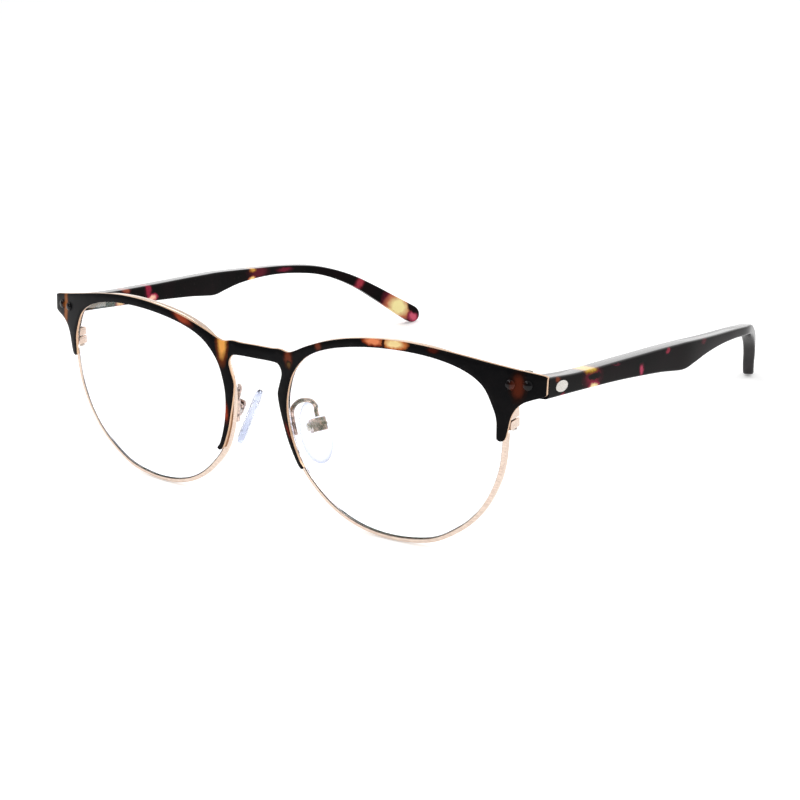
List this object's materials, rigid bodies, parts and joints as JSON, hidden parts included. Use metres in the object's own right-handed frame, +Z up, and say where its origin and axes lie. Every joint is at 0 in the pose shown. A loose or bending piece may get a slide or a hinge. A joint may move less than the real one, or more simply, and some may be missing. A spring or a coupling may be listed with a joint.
{
  "type": "half rim eyeglasses",
  "caption": "Browline eyeglasses: a stamped brow plate over wire rims, clear lenses, rocking nose pads and folding acetate temples on barrel hinges.",
  "frame": {"origin": "middle of the base of the bounding box, where the rims and temple tips rest on a table", "axes": "+Z up, -Y is the side the lenses face, +X is the wearer's left, temples run towards +Y"},
  "size_m": [0.1474, 0.1464, 0.0454],
  "materials": {
    "tortoise_lacquer": "satin lacquer",
    "rose_gold": "polished plating",
    "steel": "brushed",
    "acetate": "polished",
    "lens": "polished, coated",
    "silicone": "smooth",
    "clear_resin": "smooth"
  },
  "bodies": {
    "front": {"brow_plate": "tortoise_lacquer", "left_rim_wire": "rose_gold", "left_lens": "lens", "left_closing_block_upper": "rose_gold", "left_closing_block_lower": "rose_gold", "left_rim_screw": "steel", "left_pad_arm": "rose_gold", "left_pad_box": "rose_gold", "left_pad_screw": "steel", "left_hinge_front_leaf": "steel", "left_hinge_screw": "steel", "left_inner_rivet": "tortoise_lacquer", "left_outer_rivet": "tortoise_lacquer", "right_rim_wire": "rose_gold", "right_lens": "lens", "right_closing_block_upper": "rose_gold", "right_closing_block_lower": "rose_gold", "right_rim_screw": "steel", "right_pad_arm": "rose_gold", "right_pad_box": "rose_gold", "right_pad_screw": "steel", "right_hinge_front_leaf": "steel", "right_hinge_screw": "steel", "right_inner_rivet": "tortoise_lacquer", "right_outer_rivet": "tortoise_lacquer"},
    "left_temple": {"left_temple": "acetate", "left_temple_core": "steel", "left_hinge_temple_leaf": "steel", "left_temple_emblem": "steel"},
    "right_temple": {"right_temple": "acetate", "right_temple_core": "steel", "right_hinge_temple_leaf": "steel", "right_temple_emblem": "steel"},
    "left_pad": {"left_nose_pad": "silicone", "left_pad_insert": "clear_resin"},
    "right_pad": {"right_nose_pad": "silicone", "right_pad_insert": "clear_resin"}
  },
  "joints": [
    {"name": "left_hinge", "type": "hinge", "parent": "front", "child": "left_temple", "pos_m": [0.0642, -0.06378, 0.0385], "axis": [0, 0, 1], "range_deg": [0, 88]},
    {"name": "right_hinge", "type": "hinge", "parent": "front", "child": "right_temple", "pos_m": [-0.0642, -0.06378, 0.0385], "axis": [0, 0, -1], "range_deg": [0, 78]},
    {"name": "left_pad_rock", "type": "hinge", "parent": "front", "child": "left_pad", "pos_m": [0.0116, -0.06549, 0.02065], "axis": [0.5152, 0.8563, 0.038], "range_deg": [-10, 10]},
    {"name": "right_pad_rock", "type": "hinge", "parent": "front", "child": "right_pad", "pos_m": [-0.0116, -0.06549, 0.02065], "axis": [-0.5152, 0.8563, 0.038], "range_deg": [-10, 10]}
  ]
}
